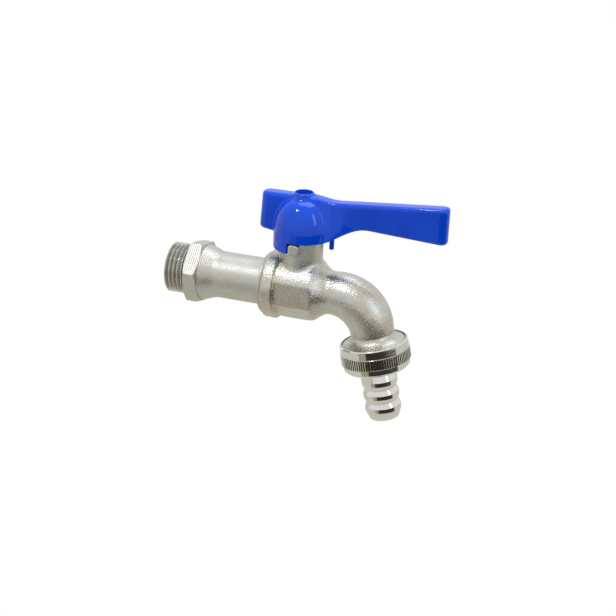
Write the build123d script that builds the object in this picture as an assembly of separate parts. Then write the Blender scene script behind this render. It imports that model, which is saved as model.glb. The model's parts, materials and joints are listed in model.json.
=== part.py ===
from build123d import *
import math
import os

# Lever ball tap for an outside wall, with a long inlet neck and a hose union.
# Lengths are in millimetres. The origin is the centre of the wall side face of the
# inlet hexagon. +X follows the water through the inlet, +Z is up.

# Shared values
cut_over = 1.0
fit_gap = 0.05
seat_gap = 0.03
loose_gap = 0.3
pipe_pitch = 1.814
pipe_thread_depth = 1.162
crest_share = 0.16
root_share = 0.16

# Inlet neck: half inch parallel pipe thread, spanner hexagon, long neck and screwed spigot
inlet_thread_d = 20.955
inlet_thread_length = 9.5
inlet_thread_runout = 0.6
hexagon_flats = 24.0
hexagon_width = 6.0
hexagon_chamfer = 0.9
hexagon_turn = 12.0
neck_d = 19.4
neck_flare_length = 6.0
neck_flare_width = 2.1
neck_flare_bend = 7.0
neck_end_x = 33.0
neck_flange_d = 25.4
neck_flange_width = 1.0
neck_flange_edge = 0.25
spigot_thread_d = 22.0
spigot_pitch = 1.5
spigot_thread_depth = 0.92
spigot_thread_length = 5.2
spigot_nose_d = 18.8
waterway_d = 10.0
waterway_mouth_chamfer = 0.8

# Valve body: collar, forged block, stem tower and stop post
tower_x = 47.5
collar_d = 28.2
collar_width = 6.0
collar_chamfer = 1.1
collar_groove_width = 0.5
collar_groove_depth = 1.3
block_flats = 24.0
block_end = 9.3
block_end_chamfer = 1.8
block_face_angle = 45.0
shoulder_width = 3.2
shoulder_bend = 4.0
tower_d = 17.4
tower_top = 24.0
tower_top_chamfer = 0.5
post_width = 4.4
post_reach = 11.6
post_height = 4.5
post_round = 1.2
stop_gap = 0.05
chamber_d = 19.0
neck_shoulder_depth = 1.4

# Ball, its seats and their backing rings
ball_d = 18.0
drain_hole_d = 2.4
seat_outer_d = 16.4
seat_width = 2.6
seat_back = 8.2
seat_lead = 0.1
backing_section_d = 1.0
ball_slot_width = 4.2
ball_slot_floor = 6.3

# Stem, with its washer, seal rings and guide bush
stem_d = 8.0
stem_tang_width = 4.0
stem_tang_length = 8.4
stem_tang_bottom = 6.6
stem_collar_d = 11.2
stem_collar_bottom = 9.7
stem_collar_top = 12.0
thrust_washer_width = 0.8
seal_section_d = 1.4
seal_groove_width = 1.7
lower_seal_z = 15.2
upper_seal_z = 18.4
bush_outer_d = 11.0
bush_width = 2.6
stem_shoulder = 24.8
stem_square = 6.0
stem_top = 35.4
stem_top_chamfer = 0.4

# Lever: bell shaped hub, drop tab, hanging peg, arm and short tail
hub_skirt_d = 23.6
hub_skirt_inner_d = 19.6
notch_floor = 22.0
tab_bottom = 17.6
tab_sweep = 72.0
hub_bell_start = 24.0
hub_bell_top = 37.8
hub_bell_top_d = 11.6
hub_bell_rise_share = 0.65
hub_bell_side_share = 0.97
hub_bell_level_share = 0.53
hub_rim_d = 8.4
hub_rim_z = 41.0
hub_rim_round = 0.5
hub_ceiling = 25.1
hub_boss_d = 12.0
hub_relief_d = 17.0
hub_relief_top = 30.5
screw_recess_d = 6.9
screw_web_rise = 0.7
peg_d = 2.1
peg_reach = 12.0
peg_bottom = 17.2
arm_width = 6.5
arm_edge_round = 1.3
arm_nose_round = 2.9
arm_end_x = 60.0
arm_tip_top = 43.0
arm_tip_bottom = 27.7
arm_waist_x = 25.0
arm_waist_bend = 14.0
arm_waist_bottom = 29.4
arm_root_x = 10.5
arm_root_bottom = 22.2
arm_root_bend = 3.0
arm_dip_x = 13.0
arm_dip_top = 38.7
arm_dip_bend = 20.0
arm_crown_x = 5.0
arm_crown_top = 40.0
web_start_x = 4.0
web_end_x = 24.0
web_top_drop = 0.8
web_bend_share = 0.55
steep_share = 0.9
tail_end_x = 18.2
tail_lean = 0.9
tail_top = 39.6
tail_bottom = 24.3
tail_root_bottom = 23.2

# Handle screw and its spring washer
screw_d = 4.0
screw_length = 9.0
screw_head_d = 6.4
screw_head_height = 1.7
screw_head_round = 0.5
screw_cross_width = 0.9
screw_cross_length = 3.8
screw_cross_depth = 1.1
tapped_depth = 10.5
spring_washer_d = 6.4
spring_washer_width = 0.9
spring_washer_slit = 0.7

# Spout: bent pipe, bell mouth and three quarter inch union thread
spout_d = 17.8
spout_bend_swell = 1.5
spout_inner_bend = 9.0
spout_lean = 11.8
spout_bend_x = 61.8
spout_sections = 5
spout_bore_d = 12.4
seam_drop = 4.4
bell_start = 5.2
bell_edge = 0.6
bell_bury = 0.2
bell_pull_share = 0.22
union_thread_d = 26.441
union_thread_length = 5.2
union_relief = 0.5

# Union nut, gasket and hose tail, measured along the outlet from the bell's edge
nut_band_d = 28.3
nut_knurl_d = 28.8
nut_knurl_depth = 0.36
nut_ridges = 90
nut_ridge_flat_share = 0.36
nut_top = -0.9
nut_top_chamfer = 0.4
nut_band_end = 3.0
nut_knurl_end = 7.3
nut_foot_d = 27.5
nut_foot_end_d = 25.6
nut_foot_straight = 2.3
nut_bottom = 10.6
nut_lip_width = 1.6
nut_lip_gap = 0.3
nut_groove_width = 0.3
nut_thread_gap = 0.08
gasket_width = 2.0
gasket_outer_d = 24.0
gasket_inner_d = 14.0
tail_flange_d = 25.6
tail_flange_width = 1.5
tail_shank_d = 15.4
tail_shank_end = 10.2
tail_bore_d = 10.0
barb_d = 15.0
barb_waist_d = 13.3
barb_first = 16.3
barb_step = 5.75
barb_count = 3
barb_land = 1.8
barb_land_round = 0.7
barb_waist_round = 0.3
hose_tail_end = 32.6
hose_tail_end_d = 12.2
hose_tail_end_round = 0.9

# Places worked out from the values above
collar_x = neck_end_x + neck_flange_width
block_x = collar_x + collar_width
spigot_thread_end = collar_x + spigot_thread_length
body_shoulder_x = spigot_thread_end + neck_shoulder_depth
inlet_pocket_x = tower_x - seat_back - backing_section_d
spigot_end = tower_x - seat_back + seat_width
outlet_pocket_x = tower_x + seat_back + backing_section_d
outlet_pocket_mouth = tower_x + seat_back - seat_width - seat_lead
ball_r = ball_d / 2
block_half_angle = math.radians(block_face_angle / 2)
block_r = block_flats / 2 / math.cos(block_half_angle)
block_end_x = tower_x + block_end
post_top = notch_floor - loose_gap
post_bottom = post_top - post_height
washer_top = stem_collar_top + thrust_washer_width
bush_bottom = tower_top - bush_width
screw_web_top = stem_top + screw_web_rise
screw_head_seat = screw_web_top + spring_washer_width
screw_head_top = screw_head_seat + screw_head_height
gasket_end = union_thread_length + gasket_width
flange_end = gasket_end + tail_flange_width
bend_turn = 90.0 - spout_lean
centre_bend = spout_inner_bend + spout_d / 2

# The lever turns a quarter turn between its tab and its peg, which both meet the post
tab_turn = math.degrees(math.asin((post_width / 2 + stop_gap) / (hub_skirt_inner_d / 2)))
peg_turn = math.degrees(math.asin((post_width / 2 + stop_gap + peg_d / 2) / peg_reach))

upright = (Align.CENTER, Align.CENTER, Align.MIN)
hanging = (Align.CENTER, Align.CENTER, Align.MAX)


def bend_point(radius, share):
    """A point on the spout's bend, at a radius from its centre and a share of its turn."""
    turn = math.radians(bend_turn * share)
    return Vector(spout_bend_x + radius * math.sin(turn), 0, radius * math.cos(turn) - centre_bend)


outlet_turn = math.radians(bend_turn)
outlet_way = Vector(math.cos(outlet_turn), 0, -math.sin(outlet_turn))
outlet_seam = bend_point(centre_bend, 1) + outlet_way * seam_drop
outlet = Plane(origin=outlet_seam, x_dir=(0, 1, 0), z_dir=outlet_way)


def outline_of(points, radii):
    """A closed outline through points, with its corners rounded where radii are given."""
    return FilletPolyline(*points, radius=radii, close=True) if radii else Polyline(*points, close=True)


def turned_along(points, radii=None):
    """A piece turned about the X axis from (x, radius) points."""
    return revolve(make_face(outline_of(points, radii)), Axis.X)


def turned_up(points, radii=None):
    """A piece turned about the Z axis from (radius, height) points."""
    rows = [(radius, 0, height) for radius, height in points]
    return revolve(make_face(outline_of(rows, radii)), Axis.Z)


def thread_points(start, end, major_r, pitch, depth):
    """Outline of a thread between two places, as ridges one pitch apart."""
    points = []
    crest = pitch * crest_share
    flank = pitch * (1 - crest_share - root_share) / 2
    place = start
    while place + flank + crest + flank <= end:
        points.append((place, major_r - depth))
        points.append((place + flank, major_r))
        points.append((place + flank + crest, major_r))
        points.append((place + flank + crest + flank, major_r - depth))
        place += pitch
    return points


def ring(section_d, mid_r):
    """A seal ring of round section about the Z axis."""
    return Torus(mid_r, section_d / 2)


def along_x(shape, place):
    """A shape made about the Z axis, laid along X at a place."""
    return Pos(place, 0, 0) * Rot(0, 90, 0) * shape


def rod(diameter, start, end):
    """A round rod about the Z axis between two heights."""
    return Pos(0, 0, start) * Cylinder(diameter / 2, end - start, align=upright)


def washer(outer_d, inner_d, bottom, width):
    """Flat washer about the stem."""
    disc = rod(outer_d, bottom, bottom + width) - rod(inner_d, bottom - cut_over, bottom + width + cut_over)
    return Pos(tower_x, 0, 0) * disc


def hexagon():
    """Spanner hexagon with round chamfers, turned as it ended up when it was tightened."""
    half_side_angle = math.pi / 6
    corner_r = hexagon_flats / 2 / math.cos(half_side_angle)
    outline = Plane.YZ * Rot(0, 0, 180 - hexagon_turn) * RegularPolygon(corner_r, 6)
    low_r = corner_r - hexagon_chamfer / math.tan(half_side_angle)
    high_r = corner_r + fit_gap
    rounding = turned_along([
        (0, 0), (0, low_r), (hexagon_chamfer, high_r),
        (hexagon_width - hexagon_chamfer, high_r), (hexagon_width, low_r), (hexagon_width, 0),
    ])
    return extrude(outline, hexagon_width) & rounding


def inlet_neck():
    """Inlet thread, hexagon, long neck and the spigot that screws into the body."""
    major_r = inlet_thread_d / 2
    root_r = major_r - pipe_thread_depth
    neck_r = neck_d / 2
    flange_r = neck_flange_d / 2
    spigot_r = spigot_thread_d / 2 - fit_gap
    spigot_root_r = spigot_r - spigot_thread_depth
    nose_r = spigot_nose_d / 2
    thread = [(-inlet_thread_length, 0)]
    thread += thread_points(-inlet_thread_length, -inlet_thread_runout, major_r, pipe_pitch, pipe_thread_depth)
    thread += [(cut_over, root_r), (cut_over, 0)]
    neck = turned_along(
        [(cut_over, 0), (cut_over, neck_r + neck_flare_width), (hexagon_width, neck_r + neck_flare_width),
         (hexagon_width + neck_flare_length, neck_r), (neck_end_x, neck_r),
         (neck_end_x, flange_r - neck_flange_edge), (neck_end_x + neck_flange_edge, flange_r),
         (collar_x, flange_r), (collar_x, 0)],
        [0, 0, 0, neck_flare_bend, 0, 0, 0, 0, 0])
    spigot = [(collar_x - cut_over, 0), (collar_x - cut_over, spigot_root_r)]
    spigot += thread_points(collar_x, spigot_thread_end, spigot_r, spigot_pitch, spigot_thread_depth)
    spigot += [(spigot_thread_end, spigot_root_r), (spigot_thread_end, nose_r), (spigot_end, nose_r), (spigot_end, 0)]
    bore = along_x(rod(waterway_d, -inlet_thread_length - cut_over, spigot_end + cut_over), 0)
    mouth_r = waterway_d / 2 + waterway_mouth_chamfer
    mouth = turned_along([
        (-inlet_thread_length - cut_over, 0), (-inlet_thread_length - cut_over, mouth_r + cut_over),
        (-inlet_thread_length - cut_over + mouth_r + cut_over, 0),
    ])
    pocket = along_x(rod(seat_outer_d, inlet_pocket_x, spigot_end + cut_over), 0)
    return turned_along(thread) + hexagon() + neck + turned_along(spigot) - bore - mouth - pocket


def neck_seal_ring():
    """Rubber ring squeezed between the spigot's end and the shoulder inside the body."""
    mid_r = (spigot_thread_d + spigot_nose_d) / 4
    return along_x(ring(neck_shoulder_depth, mid_r), (spigot_thread_end + body_shoulder_x) / 2)


def body_block():
    """Forged block about the ball: round above, octagonal spanner flats in front and below."""
    length = block_end_x - block_x
    octagon = Plane.YZ * Rot(0, 0, block_face_angle / 2) * RegularPolygon(block_r, 8)
    block = Pos(block_x, 0, 0) * extrude(octagon, length)
    ridge_z = block_flats / 2 * math.tan(block_half_angle)
    upper_room = Pos(block_x, 0, ridge_z) * Box(
        length, 2 * block_r, 2 * block_r, align=(Align.MIN, Align.CENTER, Align.MIN))
    round_part = along_x(rod(2 * block_r, block_x, block_end_x), 0)
    high_r = block_r + fit_gap
    trim = turned_along([
        (block_x - cut_over, 0), (block_x - cut_over, high_r), (block_end_x - block_end_chamfer, high_r),
        (block_end_x, block_r - block_end_chamfer), (block_end_x, 0),
    ])
    return ((block - upper_room) + (round_part & upper_room)) & trim


def body_collar():
    """Round collar that takes the neck's spigot, with a groove against the block."""
    collar_r = collar_d / 2
    low_r = collar_r - collar_groove_depth
    return turned_along([
        (collar_x, 0), (collar_x, collar_r - collar_chamfer), (collar_x + collar_chamfer, collar_r),
        (block_x - collar_groove_width, collar_r), (block_x - collar_groove_width, low_r), (block_x, low_r),
        (block_x, 0),
    ])


def body_shoulder():
    """Hollow shoulder where the block narrows to the spout's pipe."""
    pipe_r = spout_d / 2
    return turned_along(
        [(block_end_x - cut_over, 0), (block_end_x - cut_over, block_r - block_end_chamfer),
         (block_end_x, block_r - block_end_chamfer), (block_end_x + shoulder_width, pipe_r), (spout_bend_x, pipe_r),
         (spout_bend_x, 0)],
        [0, 0, 0, shoulder_bend, 0, 0])


def body_tower():
    """Round tower for the stem, with the stop post on its front."""
    tower_r = tower_d / 2
    tower = turned_up([
        (0, 0), (tower_r, 0), (tower_r, tower_top - tower_top_chamfer), (tower_r - tower_top_chamfer, tower_top),
        (0, tower_top),
    ])
    post = Pos(0, 0, post_bottom) * Box(post_width, post_reach, post_height,
                                        align=(Align.CENTER, Align.MAX, Align.MIN))
    top_edges = post.edges().filter_by(Axis.Y).group_by(Axis.Z)[-1]
    return Pos(tower_x, 0, 0) * (tower + fillet(top_edges, post_round))


def spout_pipe():
    """Bent pipe, swelling a little on the outside towards the middle of the bend."""
    sections = []
    for step in range(spout_sections):
        share = step / (spout_sections - 1)
        section_r = (spout_d + spout_bend_swell * math.sin(math.pi * share)) / 2
        turn = math.radians(bend_turn * share)
        plane = Plane(origin=bend_point(spout_inner_bend + section_r, share), x_dir=(0, 1, 0),
                      z_dir=(math.cos(turn), 0, -math.sin(turn)))
        sections.append(plane * Circle(section_r))
    return loft(sections)


def spout_mouth():
    """Straight end of the spout with its bell and union thread, turned about the outlet."""
    start_r = spout_d / 2 - bell_bury
    major_r = union_thread_d / 2
    root_r = major_r - pipe_thread_depth
    pull = -bell_edge - (bell_start - bell_edge) * bell_pull_share
    flare = Bezier((start_r, 0, -bell_start), (start_r, 0, pull), (major_r, 0, -bell_edge))
    rest = Polyline(flare @ 1, (major_r, 0, 0), (0, 0, 0), (0, 0, -bell_start), flare @ 0)
    bell = revolve(make_face([flare, rest]), Axis.Z)
    thread = [(0, -cut_over), (root_r, -cut_over)]
    thread += [(radius, place) for place, radius in
               thread_points(union_relief, union_thread_length, major_r, pipe_pitch, pipe_thread_depth)]
    thread += [(root_r, union_thread_length), (0, union_thread_length)]
    return outlet * (bell + turned_up(thread))


def spout_waterway():
    """Bore from the outlet seat through the bend to the end of the union thread."""
    start = Line((outlet_pocket_x - cut_over, 0, 0), (spout_bend_x, 0, 0))
    arc = ThreePointArc(start @ 1, bend_point(centre_bend, 0.5), bend_point(centre_bend, 1))
    end = Line(arc @ 1, outlet_seam + outlet_way * (union_thread_length + cut_over))
    mouth = Plane(origin=start @ 0, z_dir=(1, 0, 0)) * Circle(spout_bore_d / 2)
    return sweep(mouth, path=Wire([start, arc, end]))


def valve_body():
    """Body forging: collar, block, tower, stop post, spout and its union thread."""
    thread_r = spigot_thread_d / 2
    chamber_r = chamber_d / 2
    seat_r = seat_outer_d / 2
    outside = body_collar() + body_block() + body_shoulder() + body_tower() + spout_pipe() + spout_mouth()
    chamber = turned_along([
        (collar_x - cut_over, 0), (collar_x - cut_over, thread_r), (body_shoulder_x, thread_r),
        (body_shoulder_x, chamber_r), (outlet_pocket_mouth, chamber_r), (outlet_pocket_mouth, seat_r),
        (outlet_pocket_x, seat_r), (outlet_pocket_x, 0),
    ])
    stem_bore = Pos(tower_x, 0, 0) * (
        rod(stem_collar_d + 2 * fit_gap, 0, washer_top)
        + rod(stem_d + 2 * fit_gap, washer_top - cut_over, bush_bottom + cut_over)
        + rod(bush_outer_d, bush_bottom, tower_top + cut_over))
    return outside - chamber - stem_bore - spout_waterway()


def seat_ring(side):
    """Slippery seat with a hollowed face that the ball turns on; side is -1 or 1."""
    front = seat_back - seat_width
    face_r = ball_r + seat_gap
    bore_r = waterway_d / 2
    outer_r = seat_outer_d / 2
    at_front = Vector(front, math.sqrt(face_r ** 2 - front ** 2))
    at_bore = Vector(math.sqrt(face_r ** 2 - bore_r ** 2), bore_r)
    hollow = ThreePointArc(at_front, (at_front + at_bore).normalized() * face_r, at_bore)
    rest = Polyline(at_bore, (seat_back, bore_r), (seat_back, outer_r), (front, outer_r), at_front)
    blank = revolve(make_face([hollow, rest]), Axis.X)
    return Pos(tower_x, 0, 0) * Rot(0, 0, 0 if side > 0 else 180) * blank


def backing_ring(side):
    """Rubber ring behind a seat, which gives way when water in the ball freezes."""
    mid_r = (seat_outer_d + waterway_d) / 4
    return along_x(ring(backing_section_d, mid_r), tower_x + side * (seat_back + backing_section_d / 2))


def ball():
    """Ball with its bore along the pipe, a slot for the stem and a drain hole to one side."""
    bore = along_x(rod(waterway_d, -ball_d, ball_d), 0)
    slot = Pos(0, 0, ball_slot_floor) * Box(ball_slot_width, ball_d, ball_d, align=upright)
    drain = Rot(-90, 0, 0) * rod(drain_hole_d, 0, ball_d)
    return Pos(tower_x, 0, 0) * (Sphere(ball_r) - bore - slot - drain)


def stem():
    """Stem put in from inside: tang, collar, two seal grooves, square and tapped top."""
    shaft_r = stem_d / 2
    groove_r = shaft_r - seal_section_d
    outline = [(0, stem_collar_bottom), (stem_collar_d / 2, stem_collar_bottom)]
    outline += [(stem_collar_d / 2, stem_collar_top), (shaft_r, stem_collar_top)]
    for level in (lower_seal_z, upper_seal_z):
        low = level - seal_groove_width / 2
        high = level + seal_groove_width / 2
        outline += [(shaft_r, low), (groove_r, low), (groove_r, high), (shaft_r, high)]
    outline += [(shaft_r, stem_top - stem_top_chamfer), (shaft_r - stem_top_chamfer, stem_top), (0, stem_top)]
    square_height = stem_top - stem_shoulder + cut_over
    square = Pos(0, 0, stem_shoulder) * Box(stem_square, stem_square, square_height, align=upright)
    milled = rod(2 * stem_d, stem_shoulder, stem_top + cut_over) - square
    tang = Pos(0, 0, stem_tang_bottom) * Box(stem_tang_width, stem_tang_length,
                                             stem_collar_bottom - stem_tang_bottom, align=upright)
    tapped = rod(screw_d, stem_top - tapped_depth, stem_top + cut_over)
    return Pos(tower_x, 0, 0) * (turned_up(outline) - milled + tang - tapped)


def stem_ring(level):
    """Seal ring in one groove of the stem."""
    return Pos(tower_x, 0, level) * ring(seal_section_d, (stem_d - seal_section_d) / 2)


def hub_bell():
    """Outside of the hub: skirt, bell and the rim round the screw."""
    skirt_r = hub_skirt_d / 2
    bell_r = hub_bell_top_d / 2
    rim_r = hub_rim_d / 2
    bell_height = hub_bell_top - hub_bell_start
    side = Line((skirt_r, 0, tab_bottom), (skirt_r, 0, hub_bell_start))
    level_pull = (bell_r + (skirt_r - bell_r) * (1 - hub_bell_level_share), 0, hub_bell_top * hub_bell_side_share)
    bell = Bezier(side @ 1, (skirt_r, 0, hub_bell_start + bell_height * hub_bell_rise_share), level_pull,
                  (bell_r, 0, hub_bell_top))
    neck_pull = (rim_r, 0, hub_bell_top + (hub_rim_z - hub_bell_top) * crest_share)
    neck = Bezier(bell @ 1, neck_pull, (rim_r, 0, hub_rim_z - hub_rim_round))
    top = Polyline(neck @ 1, (rim_r - hub_rim_round, 0, hub_rim_z), (0, 0, hub_rim_z), (0, 0, tab_bottom), side @ 0)
    return revolve(make_face([side, bell, neck, top]), Axis.Z)


def hub_hollow():
    """Hollow of the hub over the tower, with a relief round the boss."""
    inner_r = hub_skirt_inner_d / 2
    relief_r = hub_relief_d / 2
    boss_r = hub_boss_d / 2
    return turned_up([
        (0, tab_bottom - cut_over), (inner_r, tab_bottom - cut_over), (inner_r, hub_ceiling), (relief_r, hub_ceiling),
        (relief_r - loose_gap, hub_relief_top), (boss_r, hub_relief_top), (boss_r, hub_ceiling), (0, hub_ceiling),
    ])


def skirt_notch():
    """What is cut from the skirt, so that only the drop tab hangs down to the stop post."""
    reach = hub_skirt_d
    first = math.radians(-90 - tab_turn)
    turn = math.radians(360 - tab_sweep)
    steps = 6
    corners = [(reach * math.cos(first + turn * step / steps), reach * math.sin(first + turn * step / steps))
               for step in range(steps + 1)]
    wedge = make_face(Polyline((0, 0), *corners, close=True))
    return Pos(0, 0, notch_floor) * extrude(wedge, -hub_skirt_d)


def is_blade_end(edge):
    """Whether an edge lies at the arm's end or the short tail's end."""
    return not -tail_end_x + tail_lean + fit_gap < edge.center().X < arm_end_x - fit_gap


def arm_blade():
    """Arm and short tail as one blade through the hub, with round ends and rounded long edges."""
    points = [
        (-tail_end_x, tail_bottom), (-tail_end_x + tail_lean, tail_top), (arm_crown_x, arm_crown_top),
        (arm_dip_x, arm_dip_top), (arm_end_x, arm_tip_top), (arm_end_x, arm_tip_bottom),
        (arm_waist_x, arm_waist_bottom), (arm_root_x, arm_root_bottom), (0, arm_root_bottom),
        (-arm_root_x, tail_root_bottom),
    ]
    radii = [0, 0, 0, arm_dip_bend, 0, 0, arm_waist_bend, arm_root_bend, 0, 0]
    half = arm_width / 2
    blade = extrude(Plane.XZ * make_face(outline_of(points, radii)), half, both=True)
    uprights = [edge for edge in blade.edges() if is_blade_end(edge) and abs(edge.center().Y) > fit_gap]
    blade = fillet(uprights, arm_nose_round)
    rims = [edge for edge in blade.edges()
            if abs(edge.tangent_at(0.5).Z) < steep_share and (is_blade_end(edge) or abs(edge.center().Y) > fit_gap)]
    return fillet(rims, arm_edge_round)


def web_section(place, low, high, low_half, high_half):
    """One upright section of the web between the hub and the arm."""
    plane = Plane(origin=(place, 0, 0), x_dir=(0, 1, 0), z_dir=(1, 0, 0))
    corners = [(-low_half, low), (low_half, low), (high_half, high), (-high_half, high)]
    return plane * make_face(Polyline(*corners, close=True))


def arm_web():
    """Web that eases the hub's side into the arm."""
    half = arm_width / 2
    skirt_r = hub_skirt_d / 2
    high = arm_dip_top - web_top_drop
    start_half = math.sqrt(skirt_r ** 2 - web_start_x ** 2)
    middle = (arm_root_x + arm_waist_x) / 2
    middle_low = (arm_root_bottom + arm_waist_bottom) / 2
    root_half = half + (start_half - half) * web_bend_share * web_bend_share
    return loft([
        web_section(web_start_x, arm_root_bottom, high, start_half * web_bend_share + half / 2, half),
        web_section(arm_root_x, arm_root_bottom, high, root_half, half),
        web_section(middle, middle_low, high, half + arm_edge_round / 2, half),
        web_section(web_end_x, arm_waist_bottom, high, half - stop_gap, half - stop_gap),
    ])


def lever_handle():
    """Die cast lever, with its socket for the stem and its recess for the screw."""
    peg = Rot(0, 0, peg_turn) * Pos(peg_reach, 0, 0) * rod(peg_d, peg_bottom, hub_ceiling)
    socket = Pos(0, 0, hub_ceiling - cut_over) * Box(
        stem_square + 2 * fit_gap, stem_square + 2 * fit_gap, stem_top - hub_ceiling + cut_over + loose_gap,
        align=upright)
    shank = rod(screw_d + 2 * fit_gap, hub_ceiling, screw_web_top + cut_over)
    recess = rod(screw_recess_d, screw_web_top, hub_rim_z + cut_over)
    lever = hub_bell() - skirt_notch() + arm_blade() + arm_web() - hub_hollow() + peg
    return Pos(tower_x, 0, 0) * (lever - socket - shank - recess)


def handle_screw():
    """Cross recessed screw that holds the lever on the stem."""
    head_r = screw_head_d / 2
    blank = turned_up([
        (0, screw_head_seat - screw_length), (screw_d / 2, screw_head_seat - screw_length),
        (screw_d / 2, screw_head_seat), (head_r, screw_head_seat), (head_r, screw_head_top - screw_head_round),
        (head_r - screw_head_round, screw_head_top), (0, screw_head_top),
    ])
    slot = Box(screw_cross_length, screw_cross_width, screw_cross_depth, align=hanging)
    cross = slot + Rot(0, 0, 90) * slot
    return Pos(tower_x, 0, 0) * (blank - Pos(0, 0, screw_head_top) * cross)


def spring_washer():
    """Split washer under the screw's head."""
    disc = washer(spring_washer_d, screw_d + 2 * fit_gap, screw_web_top, spring_washer_width)
    slit = Pos(tower_x, 0, screw_web_top) * Box(spring_washer_d, spring_washer_slit, spring_washer_width,
                                                align=(Align.MIN, Align.CENTER, Align.MIN))
    return disc - slit


def nut_knurl():
    """Straight ridges round the nut, each with a flat crest."""
    crest_r = nut_knurl_d / 2
    step = 2 * math.pi / nut_ridges
    corners = []
    for ridge in range(nut_ridges):
        middle = ridge * step
        for shift, radius in ((-0.5, crest_r - nut_knurl_depth), (-nut_ridge_flat_share / 2, crest_r),
                              (nut_ridge_flat_share / 2, crest_r)):
            angle = middle + shift * step
            corners.append((radius * math.cos(angle), radius * math.sin(angle)))
    return Pos(0, 0, nut_band_end) * extrude(make_face(Polyline(*corners, close=True)), nut_knurl_end - nut_band_end)


def union_nut():
    """Knurled union nut with a lip that holds the hose tail's flange."""
    band_r = nut_band_d / 2
    foot_r = nut_foot_d / 2
    low_r = nut_knurl_d / 2 - nut_knurl_depth
    lip_top = nut_bottom - nut_lip_width
    outside = turned_up([
        (0, nut_top), (band_r - nut_top_chamfer, nut_top), (band_r, nut_top + nut_top_chamfer),
        (band_r, nut_band_end - nut_groove_width), (low_r, nut_band_end), (low_r, nut_knurl_end),
        (foot_r, nut_knurl_end + nut_groove_width), (foot_r, nut_knurl_end + nut_foot_straight),
        (nut_foot_end_d / 2, nut_bottom), (0, nut_bottom),
    ])
    inside = rod(union_thread_d + 2 * nut_thread_gap, nut_top - cut_over, lip_top)
    mouth = rod(tail_shank_d + 2 * nut_lip_gap, lip_top - cut_over, nut_bottom + cut_over)
    return outlet * (outside + nut_knurl() - inside - mouth)


def union_gasket():
    """Flat rubber gasket between the spout and the hose tail."""
    return outlet * (rod(gasket_outer_d, union_thread_length, gasket_end)
                     - rod(gasket_inner_d, union_thread_length - cut_over, gasket_end + cut_over))


def hose_tail():
    """Hose tail with a flange under the gasket and rounded barbs for the hose."""
    flange_r = tail_flange_d / 2
    shank_r = tail_shank_d / 2
    crest_r = barb_d / 2
    waist_r = barb_waist_d / 2
    end_r = hose_tail_end_d / 2
    bore_r = tail_bore_d / 2
    waist_gap = barb_step - barb_land
    first_waist = tail_shank_end + (shank_r - waist_r)
    points = [(bore_r, gasket_end), (flange_r, gasket_end), (flange_r, flange_end - fit_gap)]
    points += [(shank_r, flange_end - fit_gap), (shank_r, tail_shank_end), (waist_r, first_waist)]
    radii = [0, 0, 0, 0, 0, barb_waist_round]
    for barb in range(barb_count):
        crest = barb_first + barb * barb_step
        points += [(crest_r, crest - barb_land / 2), (crest_r, crest + barb_land / 2)]
        radii += [barb_land_round, barb_land_round]
        if barb < barb_count - 1:
            points.append((waist_r, crest + barb_land / 2 + waist_gap / 2))
            radii.append(barb_waist_round)
    points += [(end_r, hose_tail_end), (bore_r, hose_tail_end)]
    radii += [hose_tail_end_round, 0]
    return outlet * turned_up(points, radii)


parts = {
    "inlet_neck": inlet_neck(),
    "neck_seal_ring": neck_seal_ring(),
    "valve_body": valve_body(),
    "inlet_seat": seat_ring(-1),
    "outlet_seat": seat_ring(1),
    "inlet_seat_backing_ring": backing_ring(-1),
    "outlet_seat_backing_ring": backing_ring(1),
    "ball": ball(),
    "stem": stem(),
    "stem_thrust_washer": washer(stem_collar_d, stem_d + 2 * fit_gap, stem_collar_top, thrust_washer_width),
    "stem_lower_seal": stem_ring(lower_seal_z),
    "stem_upper_seal": stem_ring(upper_seal_z),
    "stem_guide_bush": washer(bush_outer_d, stem_d + 2 * fit_gap, bush_bottom, bush_width),
    "lever_handle": lever_handle(),
    "handle_screw": handle_screw(),
    "spring_washer": spring_washer(),
    "union_nut": union_nut(),
    "union_gasket": union_gasket(),
    "hose_tail": hose_tail(),
}

os.makedirs("parts", exist_ok=True)
for name, shape in parts.items():
    export_step(shape, "parts/" + name + ".step")
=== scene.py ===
import json
import math

import bpy
from mathutils import Matrix, Vector


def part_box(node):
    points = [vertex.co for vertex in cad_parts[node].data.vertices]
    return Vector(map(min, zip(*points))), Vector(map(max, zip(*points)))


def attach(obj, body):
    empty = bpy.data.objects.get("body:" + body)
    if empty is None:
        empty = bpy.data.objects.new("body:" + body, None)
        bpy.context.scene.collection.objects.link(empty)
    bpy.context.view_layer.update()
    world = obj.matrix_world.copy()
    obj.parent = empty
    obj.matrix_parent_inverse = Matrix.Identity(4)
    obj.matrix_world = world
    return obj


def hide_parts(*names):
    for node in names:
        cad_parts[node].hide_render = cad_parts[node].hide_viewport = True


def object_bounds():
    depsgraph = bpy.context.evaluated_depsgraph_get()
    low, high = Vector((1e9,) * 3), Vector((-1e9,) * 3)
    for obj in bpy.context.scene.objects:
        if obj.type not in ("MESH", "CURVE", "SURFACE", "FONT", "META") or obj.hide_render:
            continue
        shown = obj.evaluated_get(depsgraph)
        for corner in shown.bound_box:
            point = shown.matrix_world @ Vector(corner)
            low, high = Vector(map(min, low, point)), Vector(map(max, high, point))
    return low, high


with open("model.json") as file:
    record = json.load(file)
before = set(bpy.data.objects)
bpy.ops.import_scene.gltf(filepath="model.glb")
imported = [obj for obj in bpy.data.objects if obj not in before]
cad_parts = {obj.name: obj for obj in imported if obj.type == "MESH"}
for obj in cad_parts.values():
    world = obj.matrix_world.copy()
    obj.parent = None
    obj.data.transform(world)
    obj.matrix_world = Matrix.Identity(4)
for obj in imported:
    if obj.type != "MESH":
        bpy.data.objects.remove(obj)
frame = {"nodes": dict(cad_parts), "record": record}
cad_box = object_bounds()

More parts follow.
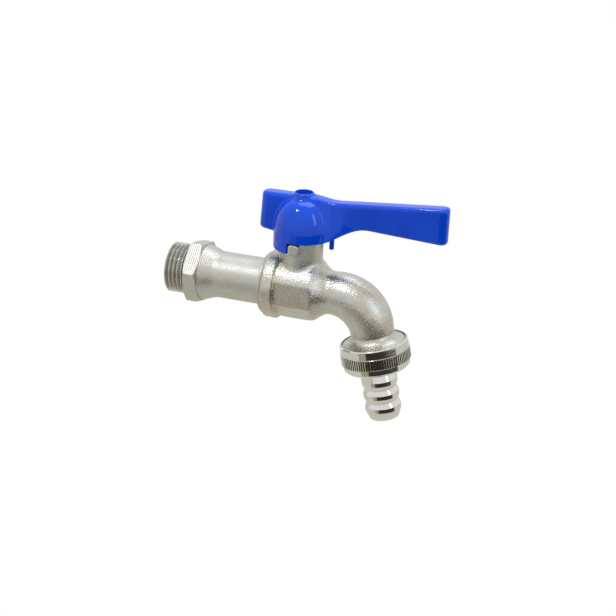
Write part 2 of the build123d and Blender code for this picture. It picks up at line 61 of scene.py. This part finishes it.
# Lengths are in metres. The frame's origin is the wall side of the inlet hexagon,
# +X follows the water and +Z is up.
mm = 0.001

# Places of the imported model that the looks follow
joints = {joint["name"]: joint for joint in frame["record"]["behaviour"]["joints"]}
tower = Vector(joints["lever_turn"]["pos_m"])
outlet_way = Vector(joints["union_travel"]["axis"]).normalized()
gasket_low, gasket_high = (Vector(corner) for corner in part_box("union_gasket"))
seam_to_gasket = 6.2 * mm
outlet_seam = (gasket_low + gasket_high) / 2 - outlet_way * seam_to_gasket
collar_length = 6.0 * mm
block_start = Vector(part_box("valve_body")[0]).x + collar_length

# Sizes in the materials
# Samples of the ambient occlusion that paints shade into corners
corner_shade_samples = 8
turned_from = 13.0 * mm
turned_fade = 2.0 * mm
thread_gloss_edge = 0.2 * mm
# A wave texture repeats 20 / 2 pi times over a length of 1 / scale, so a step times this gives
# the size that per_mm takes
wave_share = 20 / (2 * math.pi)
ring_step = 0.9
# Lines of this size are 1.9 mm apart
tool_line_size = 6.0


def linear(code):
    """An sRGB hex code as the linear colour that shaders take."""
    parts = [int(code[i:i + 2], 16) / 255 for i in (0, 2, 4)]
    return [part / 12.92 if part <= 0.04045 else ((part + 0.055) / 1.055) ** 2.4
            for part in parts] + [1.0]


def grey(level):
    """A grey for a ramp that drives a number."""
    return [level, level, level, 1.0]


def per_mm(size):
    """Texture scale whose blotches are about this many millimetres across."""
    return 1 / (size * mm)


def add(tree, kind, inputs=None, stops=None, **settings):
    """Adds a node with its settings, its ramp stops, and its inputs as values or links. An input
    goes by its name, or by its number where names repeat: a Mix node blends 2 into 3 by 0."""
    node = tree.nodes.new(kind)
    for name, value in settings.items():
        setattr(node, name, value)
    if stops:
        ramp = node.color_ramp.elements
        while len(ramp) < len(stops):
            ramp.new(0.5)
        for element, (place, colour) in zip(ramp, stops):
            element.position = place
            element.color = colour
    for name, value in (inputs or {}).items():
        if isinstance(value, bpy.types.NodeSocket):
            tree.links.new(value, node.inputs[name])
        else:
            node.inputs[name].default_value = value
    return node


def new_material(name):
    """An empty material, with its node tree and its object coordinates."""
    material = bpy.data.materials.new(name)
    material.use_nodes = True
    tree = material.node_tree
    tree.nodes.clear()
    place = add(tree, "ShaderNodeTexCoord").outputs["Object"]
    return material, tree, place


def close_up(tree, shader):
    """Joins the finished shader to the material's output."""
    add(tree, "ShaderNodeOutputMaterial", {"Surface": shader.outputs[0]})


def nickel_casting():
    """Forged brass, shot blasted and nickel plated: a satin sheen broken up by a cast grain,
    with faint warm and cool stains that the plating bath leaves, and painted shade in its
    corners."""
    material, tree, place = new_material("satin_nickel_casting")
    stain = add(tree, "ShaderNodeTexNoise", {
        "Vector": place, "Scale": per_mm(9.0), "Detail": 3.0})
    colour = add(tree, "ShaderNodeValToRGB", {"Fac": stain.outputs["Fac"]}, stops=[
        (0.30, linear("b2b7b5")), (0.45, linear("bdbeb8")),
        (0.58, linear("bab6a8")), (0.72, linear("b9b1aa"))])
    # Painted shade: ambient occlusion darkens the colour in corners and creases where shade
    # falls
    painted_corner_shade = add(tree, "ShaderNodeAmbientOcclusion", {
        "Color": colour.outputs["Color"], "Distance": 1.6 * mm}, samples=corner_shade_samples)
    # Blasted grain is finer than this, but the camera's 2.4 pixels a millimetre would lose it
    grain = add(tree, "ShaderNodeTexNoise", {
        "Vector": place, "Scale": per_mm(0.6), "Detail": 3.0, "Roughness": 0.6})
    ripple = add(tree, "ShaderNodeTexNoise", {
        "Vector": place, "Scale": per_mm(2.4), "Detail": 3.0})
    gloss = add(tree, "ShaderNodeValToRGB", {"Fac": grain.outputs["Fac"]}, stops=[
        (0.30, grey(0.22)), (0.70, grey(0.36))])
    # The tower above the block is turned, so it is duller and smoother than the casting
    height = add(tree, "ShaderNodeSeparateXYZ", {"Vector": place})
    turned = add(tree, "ShaderNodeMapRange", {
        "Value": height.outputs["Z"], "From Min": turned_from,
        "From Max": turned_from + turned_fade})
    roughness = add(tree, "ShaderNodeMix", {
        0: turned.outputs[0], 2: gloss.outputs["Color"], 3: 0.46})
    depth = add(tree, "ShaderNodeMix", {0: turned.outputs[0], 2: 1.0, 3: 0.3})
    waves = add(tree, "ShaderNodeBump", {
        "Height": ripple.outputs["Fac"], "Strength": 0.6, "Distance": 0.20 * mm})
    bumps = add(tree, "ShaderNodeBump", {
        "Height": grain.outputs["Fac"], "Strength": depth.outputs[0], "Distance": 0.14 * mm,
        "Normal": waves.outputs["Normal"]})
    close_up(tree, add(tree, "ShaderNodeBsdfPrincipled", {
        "Base Color": painted_corner_shade.outputs["Color"], "Metallic": 1.0,
        "Roughness": roughness.outputs[0], "Normal": bumps.outputs["Normal"]}))
    return material


def turned_neck_nickel():
    """Turned brass, tumbled and nickel plated: satin, with fine rings round the pipe from the
    tool and a little of the casting's grain; the cut thread is brighter."""
    material, tree, place = new_material("satin_turned_nickel")
    stain = add(tree, "ShaderNodeTexNoise", {
        "Vector": place, "Scale": per_mm(8.0), "Detail": 3.0})
    colour = add(tree, "ShaderNodeValToRGB", {"Fac": stain.outputs["Fac"]}, stops=[
        (0.32, linear("b5b8b6")), (0.50, linear("bdbcb4")), (0.68, linear("bab3ab"))])
    # Painted shade: ambient occlusion darkens the colour in the thread's roots and other creases
    # where shade falls
    painted_corner_shade = add(tree, "ShaderNodeAmbientOcclusion", {
        "Color": colour.outputs["Color"], "Distance": 0.5 * mm}, samples=corner_shade_samples)
    # A tool's feed is finer than ring_step, but rings so close would not show
    rings = add(tree, "ShaderNodeTexWave", {
        "Vector": place, "Scale": per_mm(ring_step * wave_share), "Distortion": 1.2,
        "Detail": 3.0, "Detail Scale": 2.0}, bands_direction="X", wave_profile="SIN")
    grain = add(tree, "ShaderNodeTexNoise", {
        "Vector": place, "Scale": per_mm(0.7), "Detail": 3.0})
    gloss = add(tree, "ShaderNodeValToRGB", {"Fac": grain.outputs["Fac"]}, stops=[
        (0.30, grey(0.36)), (0.70, grey(0.50))])
    run = add(tree, "ShaderNodeSeparateXYZ", {"Vector": place})
    on_thread = add(tree, "ShaderNodeMath", {
        0: run.outputs["X"], 1: -thread_gloss_edge}, operation="LESS_THAN")
    roughness = add(tree, "ShaderNodeMix", {
        0: on_thread.outputs[0], 2: gloss.outputs["Color"], 3: 0.16})
    turned = add(tree, "ShaderNodeBump", {
        "Height": rings.outputs["Fac"], "Strength": 0.6, "Distance": 0.06 * mm})
    bumps = add(tree, "ShaderNodeBump", {
        "Height": grain.outputs["Fac"], "Strength": 0.8, "Distance": 0.12 * mm,
        "Normal": turned.outputs["Normal"]})
    close_up(tree, add(tree, "ShaderNodeBsdfPrincipled", {
        "Base Color": painted_corner_shade.outputs["Color"], "Metallic": 1.0,
        "Roughness": roughness.outputs[0], "Normal": bumps.outputs["Normal"]}))
    return material


def turned_nickel():
    """Turned brass with bright nickel plate: mirror like, with faint tool lines round the outlet
    and a slight smear."""
    material, tree, place = new_material("bright_turned_nickel")
    lean = math.atan2(outlet_way.x, -outlet_way.z)
    along = add(tree, "ShaderNodeMapping", {"Vector": place, "Rotation": (0.0, lean, 0.0)})
    lines = add(tree, "ShaderNodeTexWave", {
        "Vector": along.outputs["Vector"], "Scale": per_mm(tool_line_size), "Distortion": 0.6,
        "Detail": 2.0}, bands_direction="Z", wave_profile="SIN")
    smear = add(tree, "ShaderNodeTexNoise", {
        "Vector": place, "Scale": per_mm(3.5), "Detail": 3.0})
    gloss = add(tree, "ShaderNodeValToRGB", {"Fac": smear.outputs["Fac"]}, stops=[
        (0.30, grey(0.07)), (0.70, grey(0.15))])
    colour = add(tree, "ShaderNodeValToRGB", {"Fac": smear.outputs["Fac"]}, stops=[
        (0.35, linear("d4d7d6")), (0.65, linear("d2d1ca"))])
    bumps = add(tree, "ShaderNodeBump", {
        "Height": lines.outputs["Fac"], "Strength": 0.12, "Distance": 0.02 * mm})
    close_up(tree, add(tree, "ShaderNodeBsdfPrincipled", {
        "Base Color": colour.outputs["Color"], "Metallic": 1.0,
        "Roughness": gloss.outputs["Color"], "Normal": bumps.outputs["Normal"]}))
    return material


def blue_enamel():
    """Die cast zinc with baked blue powder coat: deep glossy blue, with the slight orange peel
    and the barely uneven tone of sprayed paint. Its reflections are tinted blue, so that the
    white room doesn't grey the paint."""
    material, tree, place = new_material("blue_powder_coat")
    tone = add(tree, "ShaderNodeTexNoise", {
        "Vector": place, "Scale": per_mm(14.0), "Detail": 2.0})
    colour = add(tree, "ShaderNodeValToRGB", {"Fac": tone.outputs["Fac"]}, stops=[
        (0.35, linear("0042d0")), (0.65, linear("004ade"))])
    peel = add(tree, "ShaderNodeTexNoise", {
        "Vector": place, "Scale": per_mm(1.6), "Detail": 1.5})
    bumps = add(tree, "ShaderNodeBump", {
        "Height": peel.outputs["Fac"], "Strength": 0.12, "Distance": 0.02 * mm})
    close_up(tree, add(tree, "ShaderNodeBsdfPrincipled", {
        "Base Color": colour.outputs["Color"], "Roughness": 0.07, "IOR": 1.5,
        "Specular IOR Level": 0.75, "Specular Tint": linear("b0caff"),
        "Normal": bumps.outputs["Normal"]}))
    return material


def plated_steel():
    """Zinc plated steel: pale, slightly blue and a little cloudy."""
    material, tree, place = new_material("zinc_plated_steel")
    cloud = add(tree, "ShaderNodeTexNoise", {
        "Vector": place, "Scale": per_mm(1.5), "Detail": 3.0})
    colour = add(tree, "ShaderNodeValToRGB", {"Fac": cloud.outputs["Fac"]}, stops=[
        (0.35, linear("b9bec4")), (0.65, linear("cfd0cb"))])
    gloss = add(tree, "ShaderNodeValToRGB", {"Fac": cloud.outputs["Fac"]}, stops=[
        (0.3, grey(0.25)), (0.7, grey(0.38))])
    close_up(tree, add(tree, "ShaderNodeBsdfPrincipled", {
        "Base Color": colour.outputs["Color"], "Metallic": 1.0,
        "Roughness": gloss.outputs["Color"]}))
    return material


def polished_chrome():
    """Brass ball with polished hard chrome: an even mirror with the faintest smear."""
    material, tree, place = new_material("polished_chrome")
    smear = add(tree, "ShaderNodeTexNoise", {
        "Vector": place, "Scale": per_mm(5.0), "Detail": 3.0})
    gloss = add(tree, "ShaderNodeValToRGB", {"Fac": smear.outputs["Fac"]}, stops=[
        (0.3, grey(0.04)), (0.7, grey(0.09))])
    close_up(tree, add(tree, "ShaderNodeBsdfPrincipled", {
        "Base Color": linear("dfe1e2"), "Metallic": 1.0, "Roughness": gloss.outputs["Color"]}))
    return material


def machined_brass():
    """Bare machined brass: warm yellow with tool lines square to the stem."""
    material, tree, place = new_material("machined_brass")
    lines = add(tree, "ShaderNodeTexWave", {
        "Vector": place, "Scale": per_mm(tool_line_size), "Distortion": 0.4},
        bands_direction="Z", wave_profile="SIN")
    tone = add(tree, "ShaderNodeTexNoise", {
        "Vector": place, "Scale": per_mm(4.0), "Detail": 2.0})
    colour = add(tree, "ShaderNodeValToRGB", {"Fac": tone.outputs["Fac"]}, stops=[
        (0.35, linear("c9a458")), (0.65, linear("d8b76a"))])
    bumps = add(tree, "ShaderNodeBump", {
        "Height": lines.outputs["Fac"], "Strength": 0.25, "Distance": 0.02 * mm})
    close_up(tree, add(tree, "ShaderNodeBsdfPrincipled", {
        "Base Color": colour.outputs["Color"], "Metallic": 1.0, "Roughness": 0.25,
        "Normal": bumps.outputs["Normal"]}))
    return material


def seat_plastic():
    """Turned seat plastic: waxy white, slightly mottled, soft to look at."""
    material, tree, place = new_material("white_seat_plastic")
    mottle = add(tree, "ShaderNodeTexNoise", {
        "Vector": place, "Scale": per_mm(1.2), "Detail": 3.0})
    colour = add(tree, "ShaderNodeValToRGB", {"Fac": mottle.outputs["Fac"]}, stops=[
        (0.35, linear("e6e5df")), (0.65, linear("f1f0ec"))])
    close_up(tree, add(tree, "ShaderNodeBsdfPrincipled", {
        "Base Color": colour.outputs["Color"], "Roughness": 0.42, "IOR": 1.36,
        "Subsurface Weight": 0.15, "Subsurface Scale": 0.6 * mm}))
    return material


def black_rubber():
    """Moulded black rubber: dark, dull, with a fine powdery grain."""
    material, tree, place = new_material("black_rubber")
    grain = add(tree, "ShaderNodeTexNoise", {
        "Vector": place, "Scale": per_mm(0.4), "Detail": 3.0})
    colour = add(tree, "ShaderNodeValToRGB", {"Fac": grain.outputs["Fac"]}, stops=[
        (0.35, linear("161616")), (0.65, linear("232322"))])
    bumps = add(tree, "ShaderNodeBump", {
        "Height": grain.outputs["Fac"], "Strength": 0.3, "Distance": 0.03 * mm})
    close_up(tree, add(tree, "ShaderNodeBsdfPrincipled", {
        "Base Color": colour.outputs["Color"], "Roughness": 0.62, "IOR": 1.52,
        "Normal": bumps.outputs["Normal"]}))
    return material


def nothing_selected():
    """Object mode with nothing selected."""
    if bpy.context.object and bpy.context.object.mode != "OBJECT":
        bpy.ops.object.mode_set(mode="OBJECT")
    bpy.ops.object.select_all(action="DESELECT")


def copy_of(node, name):
    """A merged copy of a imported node's mesh, as a new piece at the origin."""
    weld_distance = 0.002 * mm
    nothing_selected()
    source = frame["nodes"][node]
    piece = bpy.data.objects.new(name, source.data.copy())
    bpy.context.scene.collection.objects.link(piece)
    piece.matrix_world = source.matrix_world.copy()
    bpy.context.view_layer.objects.active = piece
    piece.select_set(True)
    bpy.ops.object.transform_apply(location=True, rotation=True, scale=True)
    bpy.ops.object.mode_set(mode="EDIT")
    bpy.ops.mesh.select_all(action="SELECT")
    bpy.ops.mesh.remove_doubles(threshold=weld_distance)
    bpy.ops.object.mode_set(mode="OBJECT")
    piece.data.materials.clear()
    return piece


def apply_modifier(piece, kind, name, **settings):
    """Adds one modifier to a piece and applies it."""
    nothing_selected()
    bpy.context.view_layer.objects.active = piece
    piece.select_set(True)
    modifier = piece.modifiers.new(name, kind)
    for key, value in settings.items():
        setattr(modifier, key, value)
    bpy.ops.object.modifier_apply(modifier=modifier.name)


def soften(piece, name, weight_of, rounds):
    """Smooths a piece where weight_of gives a point a weight over zero."""
    group = piece.vertex_groups.new(name=name)
    for vertex in piece.data.vertices:
        weight = weight_of(vertex.co)
        if weight > 0:
            group.add([vertex.index], weight, "REPLACE")
    apply_modifier(piece, "SMOOTH", name, factor=0.5, iterations=rounds, vertex_group=name)
    piece.vertex_groups.clear()


def ramp_up(value, start, end):
    """0 before start, 1 after end and even between; start may be the higher one."""
    return min(1.0, max(0.0, (value - start) / (end - start)))


def between(value, places):
    """1 from the second to the third of four places in millimetres, 0 outside the first and the
    last, and even in the gaps."""
    low_out, low_in, high_in, high_out = (place * mm for place in places)
    return ramp_up(value, low_out, low_in) * ramp_up(value, high_out, high_in)


def finish_piece(piece, body, material, *nodes):
    """Gives a finished piece its material and its body, and hides the nodes that it stands for.
    """
    nothing_selected()
    bpy.context.view_layer.objects.active = piece
    piece.select_set(True)
    bpy.ops.object.shade_smooth()
    piece.data.materials.clear()
    piece.data.materials.append(material)
    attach(piece, body)
    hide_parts(*nodes)
    piece.select_set(False)


# In both skins a reach is taken from the tower's axis, a run from the tower along the pipe, and
# a height from the pipe's axis


def cast_lever():
    """Lever as it is cast: its hub flows into the arm, and no edge is sharp."""
    hollow_reach = 10.2 * mm
    hollow_top = 31.0 * mm
    screw_hole_reach = 3.7 * mm
    skirt_reach = 10.6 * mm
    skirt_top = 31.5 * mm
    arm_root_run = (3.0, 7.0, 15.0, 22.0)
    arm_root_height = (23.0, 26.0, 35.5, 37.5)
    rim_reach = (4.3, 5.0, 7.5, 10.5)
    rim_height = (35.0, 37.0, 39.8, 40.6)

    def outside(point):
        """Everything but the hole for the screw and the hollow over the tower."""
        reach = (point - tower).xy.length
        in_hollow = reach < hollow_reach and point.z < hollow_top
        return 0.0 if in_hollow or reach < screw_hole_reach else 1.0

    def arm_root(point):
        """Where the hub's side turns into the arm."""
        reach = (point - tower).xy.length
        if reach < skirt_reach and point.z < skirt_top:
            return 0.0
        return between(point.x - tower.x, arm_root_run) * between(point.z, arm_root_height)

    def boss_root(point):
        """Where the rim rises out of the blade and the bell."""
        reach = (point - tower).xy.length
        return between(reach, rim_reach) * between(point.z, rim_height)

    piece = copy_of("lever_handle", "cast_lever")
    apply_modifier(piece, "REMESH", "fine_skin", mode="VOXEL", voxel_size=0.3 * mm)
    soften(piece, "all_over", lambda point: 1.0, rounds=2)
    soften(piece, "arm_root", arm_root, rounds=70)
    soften(piece, "boss_root", boss_root, rounds=10)
    soften(piece, "outside", outside, rounds=5)
    return piece


def cast_body():
    """Body as it is forged: soft where the tower, spout and block meet, crisp where machined."""
    chamber_radius = 11.3 * mm
    chamber_end = tower.x + 9.0 * mm
    chamber_top = 10.2 * mm
    stem_bore_reach = 6.2 * mm
    stem_bore_from = 8.0 * mm
    waterway_radius = 7.6 * mm
    seam_margin = 1.0 * mm
    collar_margin = 0.4 * mm
    tower_top = (23.4 * mm, 22.8 * mm)
    tower_root_reach = (7.0, 8.0, 9.6, 11.5)
    tower_root_height = (16.0 * mm, 14.5 * mm)
    block_skin = (11.6 * mm, 12.4 * mm)
    spout_root_run = (8.2, 10.0, 13.5, 16.5)

    def forged(point):
        """The forged skin: neither the collar, the thread, the bores nor the tower's top."""
        along = (point - outlet_seam).dot(outlet_way)
        reach = (point - tower).xy.length
        from_pipe = Vector((point.y, point.z)).length
        in_chamber = (from_pipe < chamber_radius and point.x < chamber_end
                      and point.z < chamber_top)
        in_stem_bore = reach < stem_bore_reach and point.z > stem_bore_from
        on_collar = point.x < block_start + collar_margin
        if along > -seam_margin or on_collar or in_chamber or in_stem_bore:
            return 0.0
        return ramp_up(point.z, *tower_top)

    def root(point):
        """Where the tower and the spout grow out of the block."""
        reach = (point - tower).xy.length
        from_pipe = Vector((point.y, point.z)).length
        tower_root = between(reach, tower_root_reach) * ramp_up(from_pipe, *block_skin)
        tower_root *= ramp_up(point.z, *tower_root_height)
        spout_root = 0.0
        if from_pipe > waterway_radius:
            spout_root = between(point.x - tower.x, spout_root_run)
        return forged(point) * max(tower_root, spout_root)

    piece = copy_of("valve_body", "forged_body")
    apply_modifier(piece, "REMESH", "fine_skin", mode="VOXEL", voxel_size=0.37 * mm)
    soften(piece, "all_over", lambda point: 1.0, rounds=2)
    soften(piece, "forged", forged, rounds=5)
    soften(piece, "root", root, rounds=45)
    return piece


nickel = nickel_casting()
neck_nickel = turned_neck_nickel()
bright = turned_nickel()
enamel = blue_enamel()
steel = plated_steel()
chrome = polished_chrome()
brass = machined_brass()
plastic = seat_plastic()
rubber = black_rubber()

finishes = {
    "inlet_neck": neck_nickel, "valve_body": nickel, "union_nut": bright, "hose_tail": bright,
    "lever_handle": enamel, "handle_screw": steel, "spring_washer": steel, "ball": chrome,
    "stem": brass, "inlet_seat": plastic, "outlet_seat": plastic,
    "stem_thrust_washer": plastic, "stem_guide_bush": plastic, "neck_seal_ring": rubber,
    "inlet_seat_backing_ring": rubber, "outlet_seat_backing_ring": rubber,
    "stem_lower_seal": rubber, "stem_upper_seal": rubber, "union_gasket": rubber,
}
for node, material in finishes.items():
    for slot in frame["nodes"][node].material_slots:
        slot.material = material

finish_piece(cast_lever(), "lever", enamel, "lever_handle")
finish_piece(cast_body(), "tap", nickel, "valve_body")

# Stage: paper far below the tap, four soft lamps, and a folding screen in front on the right,
# with one beige leaf and then four dark ones, that only reflections show
floor_drop = 400 * mm
floor_size = 12.0
target = Vector((tower.x, 0, 0))

# Each lamp's middle, its width and height, and its power in watts
lamps = {
    "left_key": ((-0.20, -0.45, 0.80), (0.06, 0.03), 0.95),
    "right_key": ((-0.10, -0.45, 0.80), (0.06, 0.03), 0.95),
    "side": ((0.75, -0.25, 0.35), (0.12, 0.5), 0.6),
    "top": ((0.1, 0.25, 0.8), (0.6, 0.4), 2.0),
}

# The screen's angles are degrees as seen from the tap, and azimuths are turns from its front
leaf_distance = 0.5
leaf_elevation = -22.0
leaf_width = 24.0
leaf_height = 26.0
beige_azimuth = -17.0
dark_leaves = 4


def floor_paint():
    """Matt paper: white to the camera, pale to the metal, and a soft warm grey to what it
    lights."""
    material, tree, _ = new_material("studio_paper")
    path = add(tree, "ShaderNodeLightPath")
    white = add(tree, "ShaderNodeEmission", {"Color": linear("ffffff"), "Strength": 1.0})
    pale = add(tree, "ShaderNodeEmission", {"Color": linear("e4e1d6"), "Strength": 1.0})
    paper = add(tree, "ShaderNodeBsdfDiffuse", {"Color": linear("a5a192")})
    mirrored = add(tree, "ShaderNodeMixShader", {
        0: path.outputs["Is Glossy Ray"], 1: paper.outputs[0], 2: pale.outputs[0]})
    close_up(tree, add(tree, "ShaderNodeMixShader", {
        0: path.outputs["Is Camera Ray"], 1: mirrored.outputs[0], 2: white.outputs[0]}))
    material.cycles.emission_sampling = "NONE"
    return material


def screen_leaf(name, azimuth, colour):
    """One flat leaf of the screen, facing the tap, in an even colour."""
    turn = math.radians(azimuth)
    tilt = math.radians(leaf_elevation)
    away = Vector((
        math.sin(turn) * math.cos(tilt), -math.cos(turn) * math.cos(tilt), math.sin(tilt)))
    nothing_selected()
    bpy.ops.mesh.primitive_plane_add(size=1.0)
    flag = bpy.context.object
    flag.name = name
    flag.scale = [2 * leaf_distance * math.tan(math.radians(angle / 2))
                  for angle in (leaf_width, leaf_height)] + [1.0]
    flag.rotation_euler = away.to_track_quat("Z", "Y").to_euler()
    flag.location = tower + away * leaf_distance
    material, tree, _ = new_material(name)
    close_up(tree, add(tree, "ShaderNodeEmission", {"Color": linear(colour), "Strength": 1.0}))
    material.cycles.emission_sampling = "NONE"
    flag.data.materials.append(material)
    flag.visible_camera = False
    flag.visible_shadow = False
    flag.visible_diffuse = False


def lamp(name, middle, size, power):
    """A soft rectangular lamp that points at the tap."""
    data = bpy.data.lights.new(name, "AREA")
    data.shape = "RECTANGLE"
    data.size, data.size_y = size
    data.energy = power
    data.color = linear("f0f8ff")[:3]
    light = bpy.data.objects.new(name, data)
    light.location = middle
    light.rotation_euler = (target - Vector(middle)).to_track_quat("-Z", "Y").to_euler()
    bpy.context.scene.collection.objects.link(light)


nothing_selected()
bpy.ops.mesh.primitive_plane_add(
    size=floor_size, location=(tower.x, 0, cad_box[0][2] - floor_drop))
floor = bpy.context.object
floor.name = "floor"
floor.data.materials.append(floor_paint())

for name, (middle, size, power) in lamps.items():
    lamp(name, middle, size, power)

screen_leaf("beige_leaf", beige_azimuth, "b4ac9c")
for number in range(1, dark_leaves + 1):
    screen_leaf(f"dark_leaf_{number}", beige_azimuth + number * leaf_width, "3a332c")

# The sky looks white to the camera and in reflections, and lights the tap a little less
world = bpy.data.worlds.new("studio")
bpy.context.scene.world = world
world.use_nodes = True
world.cycles.sampling_method = "NONE"
sky = world.node_tree
sky.nodes.clear()
path = add(sky, "ShaderNodeLightPath")
seen = add(sky, "ShaderNodeMath", {
    0: path.outputs["Is Camera Ray"], 1: path.outputs["Is Glossy Ray"]},
    operation="ADD", use_clamp=True)
through = add(sky, "ShaderNodeMath", {
    0: seen.outputs[0], 1: path.outputs["Is Transmission Ray"]}, operation="ADD", use_clamp=True)
lit = add(sky, "ShaderNodeBackground", {"Color": linear("ffffff"), "Strength": 0.80})
shown = add(sky, "ShaderNodeBackground", {"Color": linear("ffffff"), "Strength": 1.0})
both = add(sky, "ShaderNodeMixShader", {
    0: through.outputs[0], 1: lit.outputs[0], 2: shown.outputs[0]})
add(sky, "ShaderNodeOutputWorld", {"Surface": both.outputs[0]})

# Camera, fitted to the square photograph: its turn round the tap, its height, its roll, its
# distance, and the pixel where the tower's axis crosses the pipe's
camera_azimuth = math.radians(18.6)
camera_elevation = math.radians(21.8)
camera_roll = math.radians(2.6)
camera_distance = 600 * mm
photo_width = 616
pixels_per_mm = 2.44
target_column = 300.27
target_row = 287.25
sensor_width = 36.0

right = Vector((math.cos(camera_azimuth), math.sin(camera_azimuth), 0))
back = Vector((
    math.sin(camera_azimuth) * math.cos(camera_elevation),
    -math.cos(camera_azimuth) * math.cos(camera_elevation), math.sin(camera_elevation)))
up = back.cross(right)
rolled_right = right * math.cos(camera_roll) + up * math.sin(camera_roll)
rolled_up = up * math.cos(camera_roll) - right * math.sin(camera_roll)
across = (target_column - photo_width / 2) / pixels_per_mm * mm
above = (photo_width / 2 - target_row) / pixels_per_mm * mm

camera_data = bpy.data.cameras.new("camera")
camera_data.sensor_width = sensor_width
camera_data.lens = sensor_width * pixels_per_mm * camera_distance / mm / photo_width
camera = bpy.data.objects.new("camera", camera_data)
camera.matrix_world = Matrix.Translation(
    target - rolled_right * across - rolled_up * above + back * camera_distance) @ Matrix(
    (rolled_right, rolled_up, back)).transposed().to_4x4()
bpy.context.scene.collection.objects.link(camera)
bpy.context.scene.camera = camera
bpy.context.scene.view_settings.view_transform = "Standard"
